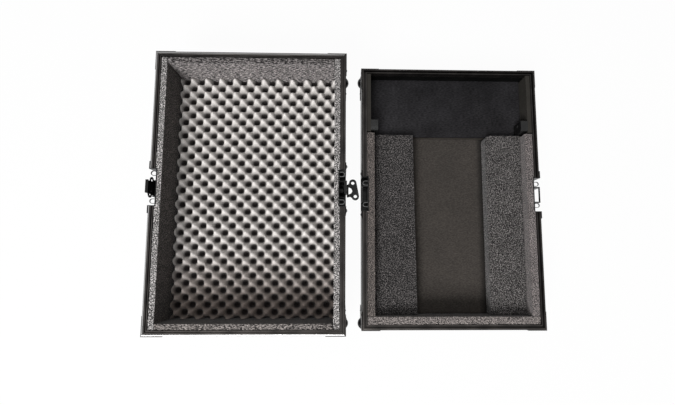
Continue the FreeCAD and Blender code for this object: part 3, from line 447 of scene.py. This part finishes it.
def slab(low, high, step, radius):
    """Points and faces of a closed block with rounded edges and an even net of faces."""
    axes = []
    for start, end in zip(low, high):
        span = end - start - 2 * radius
        count = max(1, round(span / step))
        near = [start + radius * share for share in EDGE_SHARES]
        middle = [start + radius + span * i / count for i in range(count + 1)]
        far = [end - radius * share for share in reversed(EDGE_SHARES)]
        axes.append(near + middle + far)
    sizes = [len(axis) for axis in axes]
    index = {}
    points = []

    def corner(place):
        if place not in index:
            index[place] = len(points)
            point = Vector([axis[i] for axis, i in zip(axes, place)])
            inner = Vector([min(max(value, start + radius), end - radius)
                            for value, start, end in zip(point, low, high)])
            points.append(inner + (point - inner).normalized() * radius)
        return index[place]

    faces = []
    for axis in range(3):
        across, along = [(1, 2), (2, 0), (0, 1)][axis]
        for level in (0, sizes[axis] - 1):
            for i in range(sizes[across] - 1):
                for j in range(sizes[along] - 1):
                    ring = []
                    for u, v in ((i, j), (i + 1, j), (i + 1, j + 1), (i, j + 1)):
                        place = [0, 0, 0]
                        place[axis] = level
                        place[across] = u
                        place[along] = v
                        ring.append(corner(tuple(place)))
                    faces.append(ring if level else ring[::-1])
    return points, faces


def roughen(piece, size, depth, seed):
    """Push a foam piece's surface in by noise, so that it stays inside its size."""
    shift = seed * SEED_SHIFT
    normals = [vertex.normal.copy() for vertex in piece.data.vertices]
    for vertex, normal in zip(piece.data.vertices, normals):
        value = noise.noise(vertex.co / size + shift)
        coarse = noise.noise(vertex.co / (size * COARSE_TIMES) + shift)
        vertex.co -= normal * depth * (0.5 + 0.5 * value + COARSE_SHARE * coarse)
    piece.data.update()


def dress(piece, material, body, node):
    """Finish, body, slot and replaced node of a foam piece, which is a firm pad."""
    for polygon in piece.data.polygons:
        polygon.use_smooth = True
    piece.data.materials.append(material)
    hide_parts(node)
    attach(piece, body)


def foam_slab(node, body, material, step, radius, shape=None):
    """A foam piece in the box of its node, with an optional change of shape."""
    low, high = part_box(node)
    points, faces = slab(low, high, step, radius)
    if shape:
        points = [shape(point, low, high) for point in points]
    piece = link(node + "_foam", points, faces)
    roughen(piece, FOAM_WAVE, FOAM_DEPTH, len(node))
    dress(piece, material, body, node)


def lining(node, body, material, shape=None):
    """The foam lining of one wall."""
    foam_slab(node, body, material, LINING_STEP, LINING_ROUND, shape)


def block(side, material, shape):
    """One foam block of the mixer bay."""
    foam_slab("foam_block_" + side, "base", material, BLOCK_STEP, BLOCK_ROUND,
              shape)


def back_off(depth_axis, outer, inward, reach, drop, top=FULL_HEIGHT):
    """A change of shape that keeps a lining clear of the back of a dish.

    The dish lies within a reach on either side of its middle, from a drop below the lining's
    top up to a height.
    """
    def shape(point, low, high):
        if depth_axis == 0:
            along = point.y - DISH_OFFSET
        else:
            along = point.x - (low[0] + high[0]) / 2
        if abs(along) < reach and high[2] - drop < point.z < top:
            limit = outer + inward * DISH_BACK
            if (point[depth_axis] - limit) * inward < 0:
                point[depth_axis] = limit
        return point
    return shape


def taper(point, low, high):
    """The left block narrows towards the rear."""
    along = (point.y - low[1]) / (high[1] - low[1])
    width = high[0] - low[0]
    share = (width - BLOCK_TAPER * along) / width
    point.x = low[0] + (point.x - low[0]) * share
    return point


def round_corner(point, low, high):
    """The right block's inner rear corner is rounded."""
    centre = Vector((low[0] + BLOCK_CORNER, high[1] - BLOCK_CORNER))
    offset = Vector((point.x - centre.x, point.y - centre.y))
    if offset.x < 0 and offset.y > 0:
        share = max(-offset.x, offset.y) / offset.length
        point.x = centre.x + offset.x * share
        point.y = centre.y + offset.y * share
    return point


def crate_level(u, v):
    """Height share at a place counted in half pitches: round pits, with ridges between them."""
    near = 0.0
    for column in range(math.floor(u) - 1, math.floor(u) + 3):
        for row in range(math.floor(v) - 1, math.floor(v) + 3):
            if (column + row) % 2:
                away = math.hypot((u - column) * CRATE_PIT[0], (v - row) * CRATE_PIT[1])
                near += math.exp(-CRATE_CREASE * away)
    share = -math.log(near) / CRATE_CREASE
    pitted = min(max(share / CRATE_TOP, 0.0), 1.0) ** CRATE_RISE
    wave = 0.5 + 0.5 * math.cos(math.pi * u) * math.cos(math.pi * v)
    return CRATE_MIX * wave + (1 - CRATE_MIX) * pitted


def convoluted_foam():
    """Egg-crate foam with rounded peaks and pits, on a closed flat underside."""
    low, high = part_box("convoluted_foam")
    columns = CRATE_COLUMNS * CRATE_SAMPLES
    rows = CRATE_ROWS * CRATE_SAMPLES
    lowest = low[2] + CRATE_BASE
    points = []
    for row in range(rows + 1):
        for column in range(columns + 1):
            x = low[0] + (high[0] - low[0]) * column / columns
            y = low[1] + (high[1] - low[1]) * row / rows
            sway = noise.noise(Vector((x, y, 0)) / SWAY_SIZE) * SWAY
            across = CRATE_COLUMNS - (CRATE_COLUMNS - column / CRATE_SAMPLES) / CRATE_STRETCH
            along = CRATE_SHIFT + CRATE_DRIFT * row / CRATE_SAMPLES
            level = crate_level(across + sway, along - sway)
            ripple = noise.noise(Vector((x, y, 0)) / RIPPLE_SIZE) * RIPPLE
            top = min(lowest + (high[2] - lowest) * level + ripple, high[2])
            points.append((x, y, top))
    stride = columns + 1
    faces = [(i, i + 1, i + 1 + stride, i + stride)
             for row in range(rows) for i in range(row * stride, row * stride + columns)]
    border = list(range(columns)) + [columns + stride * row for row in range(rows)]
    border += [stride * rows + i for i in range(columns, 0, -1)]
    border += [stride * row for row in range(rows, 0, -1)]
    start = len(points)
    points += [(points[i][0], points[i][1], low[2]) for i in border]
    for place, i in enumerate(border):
        after = (place + 1) % len(border)
        faces.append((i, start + place, start + after, border[after]))
    faces.append([start + place for place in reversed(range(len(border)))])
    piece = link("convoluted_foam_sheet", points, faces)
    material = crate_foam(lowest, high[2], low[1])
    dress(piece, material, "lid", "convoluted_foam")


def mixer_bay_mat():
    """Felt mat on the floor of the mixer bay."""
    mat = link("mixer_bay_felt", *slab(*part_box("mixer_bay_mat"), MAT_STEP, MAT_ROUND))
    roughen(mat, MAT_WAVE, MAT_DEPTH, MAT_SEED)
    dress(mat, felt(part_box("foam_block_right")[0][0]), "base", "mixer_bay_mat")


def lid_foam():
    """Linings of the lid and its convoluted foam."""
    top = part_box("lid_lining_rear")[1][2]
    # Copies of one lining foam, each toned as painted light or painted shade by how light falls
    # on its wall
    rear = lining_foam("rear_lining_foam", dark=0.02, light=(0.158, 0.144, 0.142), fleck=2.3,
                       painted_face_light=(top, (1.75, 1.75, 1.75)), streak=0.3)
    side_wall = lining_foam("lining_foam", dark=0.02, light=(0.3, 0.286, 0.28), fleck=2.6,
                            painted_face_light=(top, (0.28, 0.255, 0.24)))
    front = lining_foam("lid_front_foam", dark=0.03, light=(0.215, 0.193, 0.182), fleck=1.9,
                        pore=FRONT_PORE, painted_face_light=(top, (0.17, 0.148, 0.132)), streak=0.35)
    for side, corner, inward in SIDES:
        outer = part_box("lid_wall_" + side)[corner][0] - inward * WALL_SKIN
        lining("lid_lining_" + side, "lid", side_wall,
               back_off(0, outer, inward, DISH_REACH, LATCH_DISH_DROP))
    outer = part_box("lid_rim_front")[0][1]
    pan_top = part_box("handle_dish")[1][2] - HANDLE_FLANGE + HANDLE_PAN_ROOM
    lining("lid_lining_front", "lid", front,
           back_off(1, outer, 1, HANDLE_PAN_REACH, FULL_HEIGHT, pan_top))
    lining("lid_lining_rear", "lid", rear)
    convoluted_foam()


def base_foam():
    """Linings, blocks and mat of the base."""
    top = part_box("base_front_lining")[1][2]
    # The flanks are copies of one foam: the left darker as painted shade, the right lighter as
    # painted light
    flanks = {"left": lining_foam("left_flank_foam", dark=0.03, light=(0.148, 0.127, 0.117),
                                  fleck=2.0, pore=FLANK_PORE),
              "right": lining_foam("right_flank_foam", dark=0.045, light=(0.222, 0.195, 0.19),
                                   fleck=2.0, pore=FLANK_PORE)}
    front = lining_foam("front_foam", dark=0.025, light=(0.235, 0.208, 0.198), fleck=2.1,
                        pore=FRONT_PORE, painted_face_light=(top, (0.2, 0.17, 0.155)))
    for side, corner, inward in SIDES:
        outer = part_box("base_rim_" + side)[corner][0]
        lining("base_side_lining_" + side, "base", flanks[side],
               back_off(0, outer, inward, DISH_REACH, KEEPER_DISH_DROP))
    lining("base_front_lining", "base", front)
    # The blocks are copies of one foam: the left darker as painted shade, the right lighter as
    # painted light
    block("left", lining_foam("left_block_foam", dark=0.008, light=(0.037, 0.034, 0.0335),
                              fleck=4.8, pore=BLOCK_PORE), taper)
    block("right", lining_foam("right_block_foam", dark=0.008, light=(0.066, 0.0615, 0.06),
                               fleck=4.4, pore=BLOCK_PORE), round_corner)
    mixer_bay_mat()


def rim_with_painted_light(node, along):
    """Rim finish with painted shade in its groove, on some rims also a painted highlight near the
    outer edge.
    """
    low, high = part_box(node)
    axis = 1 if along == "x" else 0
    outer, inward = high[axis], -1
    if node.endswith(("front", "left")):
        outer, inward = low[axis], 1

    def placed(band):
        """A band given from the outer face, moved to its place across the rim."""
        return outer + inward * band[0], outer + inward * band[1], band[2]

    lip = placed(LIP_HIGHLIGHT[node]) if node in LIP_HIGHLIGHT else None
    line = placed(RIM_GROOVE_SHADE[node.split("_")[0]])
    # The rim's own painted light or painted shade, by how light falls on its side
    return anodised(along, node, lip, line, RIM_PAINTED_LIGHT.get(node, 1.0))


def slot_finishes():
    """The finish of each material slot, apart from the aluminium."""
    return {"black_laminate": laminate("laminate", dark=0.0006, light=0.0025),
            "batten_wood": stained_wood(),
            "black_steel": coated_steel("coated_steel", dark=0.004, light=0.03, roughness=0.4),
            "latch_steel": coated_steel("latch_steel", dark=0.004, light=0.1, roughness=0.3),
            "rivet_steel": rivet_steel(),
            "post_plastic": plastic(),
            "black_rubber": rubber()}


def node_finishes():
    """Finishes of single nodes that differ from the rest of their slot.

    The braces round the corners of a rim share the finish of the rims.
    """
    finishes = {"cable_bay_floor": laminate("bay_board", dark=(0.012, 0.0115, 0.0125),
                                            light=(0.024, 0.023, 0.025), streaks=0.45),
                "cable_bay_liners": laminate("bay_liner", dark=(0.028, 0.026, 0.023),
                                             light=(0.04, 0.037, 0.033))}
    lighter_top = {name: coated_steel(name + "_dish_steel", dark=0.004, light=0.03, roughness=0.4,
                                 lighter_top=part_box(beside)[1][2] - LOOP_DROP)
              for name, beside in (("latch", "lid_lining_rear"), ("keeper", "base_front_lining"))}
    for node in frame["nodes"]:
        if node.startswith(("latch_dish", "keeper_dish")):
            finishes[node] = lighter_top[node.split("_")[0]]
        if "_rim_" in node:
            finishes[node] = rim_with_painted_light(node, length_axis(node))
    return finishes


def length_axis(node):
    """The axis that a wall's piece runs along, by the side in its name."""
    return "y" if node.endswith(("left", "right")) else "x"


def finish_cad():
    """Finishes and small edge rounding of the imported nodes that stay."""
    by_slot = slot_finishes()
    by_node = node_finishes()
    aluminium = {"x": anodised("x"), "y": anodised("y")}
    for row in frame["record"]["subparts"]:
        node = row["node"]
        slot_name = row["material_slot"]
        if slot_name not in EDGE_ROUND:
            continue
        material = by_node.get(node) or by_slot.get(slot_name) or aluminium[length_axis(node)]
        piece = frame["nodes"][node]
        for place in piece.material_slots:
            place.material = material
        bevel = piece.modifiers.new("edge_round", "BEVEL")
        bevel.width = EDGE_ROUND[slot_name]
        bevel.segments = 2
        bevel.limit_method = "ANGLE"
        bevel.angle_limit = BEVEL_ANGLE


def floor():
    """Pale floor that shows white to the camera and in reflections, and keeps the shadow."""
    reach = FLOOR_REACH
    plane = link("floor", [(-reach, -reach, 0), (reach, -reach, 0), (reach, reach, 0),
                           (-reach, reach, 0)], [(0, 1, 2, 3)])
    material = bpy.data.materials.new("floor")
    material.use_nodes = True
    tree = material.node_tree
    tree.nodes.clear()
    diffuse = tree.nodes.new("ShaderNodeBsdfDiffuse")
    diffuse.inputs["Color"].default_value = (FLOOR_GREY, FLOOR_GREY, FLOOR_GREY, 1)
    glow = tree.nodes.new("ShaderNodeEmission")
    white = tree.nodes.new("ShaderNodeMixShader")
    white.inputs["Fac"].default_value = FLOOR_GLOW
    tree.links.new(diffuse.outputs[0], white.inputs[1])
    tree.links.new(glow.outputs[0], white.inputs[2])
    rays = tree.nodes.new("ShaderNodeLightPath")
    seen = seen_ray(tree, rays)
    choose = tree.nodes.new("ShaderNodeMixShader")
    tree.links.new(seen, choose.inputs["Fac"])
    tree.links.new(diffuse.outputs[0], choose.inputs[1])
    tree.links.new(white.outputs[0], choose.inputs[2])
    output = tree.nodes.new("ShaderNodeOutputMaterial")
    tree.links.new(choose.outputs[0], output.inputs["Surface"])
    plane.data.materials.append(material)


def seen_ray(tree, rays):
    """1 for camera, glossy and transmission rays, otherwise 0."""
    total = None
    for name in ("Is Camera Ray", "Is Glossy Ray", "Is Transmission Ray"):
        if total is None:
            total = rays.outputs[name]
            continue
        node = tree.nodes.new("ShaderNodeMath")
        node.operation = "MAXIMUM"
        tree.links.new(total, node.inputs[0])
        tree.links.new(rays.outputs[name], node.inputs[1])
        total = node.outputs[0]
    return total


def world():
    """Even grey light, white where the camera or a gloss sees it."""
    sky = bpy.data.worlds.new("sky")
    bpy.context.scene.world = sky
    sky.use_nodes = True
    tree = sky.node_tree
    background = tree.nodes["Background"]
    rays = tree.nodes.new("ShaderNodeLightPath")
    strength = tree.nodes.new("ShaderNodeMapRange")
    tree.links.new(seen_ray(tree, rays), strength.inputs["Value"])
    strength.inputs["To Min"].default_value = SKY_LIGHT
    strength.inputs["To Max"].default_value = SKY_SEEN
    background.inputs["Color"].default_value = (1, 1, 1, 1)
    tree.links.new(strength.outputs["Result"], background.inputs["Strength"])


def lamp(name, place, size, watts):
    """A square soft lamp that points at the middle of the floor."""
    data = bpy.data.lights.new(name, "AREA")
    data.shape = "SQUARE"
    data.size = size
    data.energy = watts
    source = bpy.data.objects.new(name, data)
    bpy.context.scene.collection.objects.link(source)
    source.location = place
    source.rotation_euler = (-Vector(place)).to_track_quat("-Z", "Y").to_euler()


def camera():
    """Camera fitted to the corners of both halves in the photograph."""
    data = bpy.data.cameras.new("camera")
    data.sensor_width = SENSOR
    data.lens = SENSOR * FOCAL_PIXELS / IMAGE_WIDTH
    data.shift_x = (IMAGE_WIDTH / 2 - PRINCIPAL_X) / IMAGE_WIDTH
    data.shift_y = (PRINCIPAL_Y - IMAGE_HEIGHT / 2) / IMAGE_WIDTH
    eye = bpy.data.objects.new("camera", data)
    bpy.context.scene.collection.objects.link(eye)
    turn = (Matrix.Rotation(CAMERA_TILT.z, 4, "Z") @ Matrix.Rotation(CAMERA_TILT.y, 4, "Y")
            @ Matrix.Rotation(CAMERA_TILT.x, 4, "X"))
    eye.matrix_world = Matrix.Translation(CAMERA_PLACE) @ turn
    bpy.context.scene.camera = eye


def stage():
    """Floor, light and camera."""
    floor()
    world()
    for name, (place, size, watts) in LAMPS.items():
        lamp(name, place, size, watts)
    camera()
    bpy.context.scene.view_settings.view_transform = "Standard"


finish_cad()
lid_foam()
base_foam()
stage()
